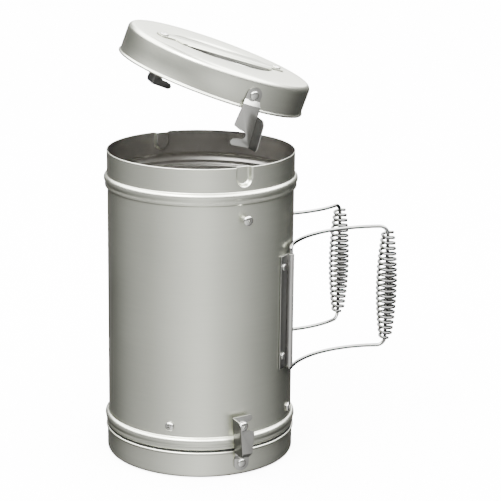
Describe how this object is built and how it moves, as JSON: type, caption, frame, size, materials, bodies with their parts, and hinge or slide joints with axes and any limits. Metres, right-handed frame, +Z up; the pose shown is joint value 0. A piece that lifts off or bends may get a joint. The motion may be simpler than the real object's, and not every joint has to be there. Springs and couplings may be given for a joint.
{
  "type": "chimney charcoal starter",
  "caption": "Upright sheet-steel charcoal chimney starter: tube with a grate, latched base pan, hooked lid with a strap handle, and two swinging wire handles with coil grips.",
  "frame": {"origin": "centre of the base pan's flat underside, on the tube's axis", "axes": "+Z up along the tube's axis, -Y towards the front, between the two visible grate screws and the latch, +X to the side that the handles swing out to"},
  "size_m": [0.2737, 0.2354, 0.3983],
  "materials": {
    "satin_steel": "satin",
    "polished_steel": "polished"
  },
  "bodies": {
    "starter": {"base_latch_front_rivet": "polished_steel", "base_latch_rear_rivet": "polished_steel", "base_latch_stud_front": "polished_steel", "base_latch_stud_front_nut": "polished_steel", "base_latch_stud_rear": "polished_steel", "base_latch_stud_rear_nut": "polished_steel", "base_pan": "satin_steel", "body_tube": "satin_steel", "bracket_rivet_left_lower": "polished_steel", "bracket_rivet_left_upper": "polished_steel", "bracket_rivet_right_lower": "polished_steel", "bracket_rivet_right_upper": "polished_steel", "grate": "satin_steel", "grate_nut_1": "polished_steel", "grate_nut_2": "polished_steel", "grate_nut_3": "polished_steel", "grate_nut_4": "polished_steel", "grate_screw_1": "polished_steel", "grate_screw_2": "polished_steel", "grate_screw_3": "polished_steel", "grate_screw_4": "polished_steel", "handle_bracket_left": "polished_steel", "handle_bracket_right": "polished_steel", "top_latch_stud_front": "polished_steel", "top_latch_stud_front_nut": "polished_steel", "top_latch_stud_rear": "polished_steel", "top_latch_stud_rear_nut": "polished_steel"},
    "lid": {"lid_shell": "satin_steel", "lid_strap": "satin_steel", "lid_strap_rivet_left": "polished_steel", "lid_strap_rivet_right": "polished_steel", "lid_latch_front_rivet": "polished_steel", "lid_latch_rear_rivet": "polished_steel"},
    "lid_hook_front": {"lid_latch_front": "satin_steel"},
    "lid_hook_rear": {"lid_latch_rear": "satin_steel"},
    "base_hook_front": {"base_latch_front": "satin_steel"},
    "base_hook_rear": {"base_latch_rear": "satin_steel"},
    "right_handle": {"handle_wire_right": "polished_steel", "handle_grip_right": "polished_steel"},
    "left_handle": {"handle_wire_left": "polished_steel", "handle_grip_left": "polished_steel"}
  },
  "joints": [
    {"name": "lid_lift", "type": "slide", "parent": "starter", "child": "lid", "axis": [0, 0, 1], "range_m": [0, 0.12]},
    {"name": "lid_hook_front_swing", "type": "hinge", "parent": "lid", "child": "lid_hook_front", "pos_m": [0.04552, -0.07252, 0.34743], "axis": [0.3789, -0.9183, -0.1147], "range_deg": [-90, 90]},
    {"name": "lid_hook_rear_swing", "type": "hinge", "parent": "lid", "child": "lid_hook_rear", "pos_m": [-0.02049, 0.08744, 0.36742], "axis": [-0.3789, 0.9183, 0.1147], "range_deg": [-90, 90]},
    {"name": "base_hook_front_swing", "type": "hinge", "parent": "starter", "child": "base_hook_front", "pos_m": [0.03763, -0.07855, 0.0124], "axis": [0.4321, -0.9018, 0], "range_deg": [0, 80]},
    {"name": "base_hook_rear_swing", "type": "hinge", "parent": "starter", "child": "base_hook_rear", "pos_m": [-0.03763, 0.07855, 0.0124], "axis": [-0.4321, 0.9018, 0], "range_deg": [0, 80]},
    {"name": "right_handle_swing", "type": "hinge", "parent": "starter", "child": "right_handle", "pos_m": [0.08134, -0.03588, 0.145], "axis": [0, 0, 1], "range_deg": [-184, 6]},
    {"name": "left_handle_swing", "type": "hinge", "parent": "starter", "child": "left_handle", "pos_m": [0.02301, 0.08587, 0.145], "axis": [0, 0, 1], "range_deg": [-12, 184]}
  ]
}
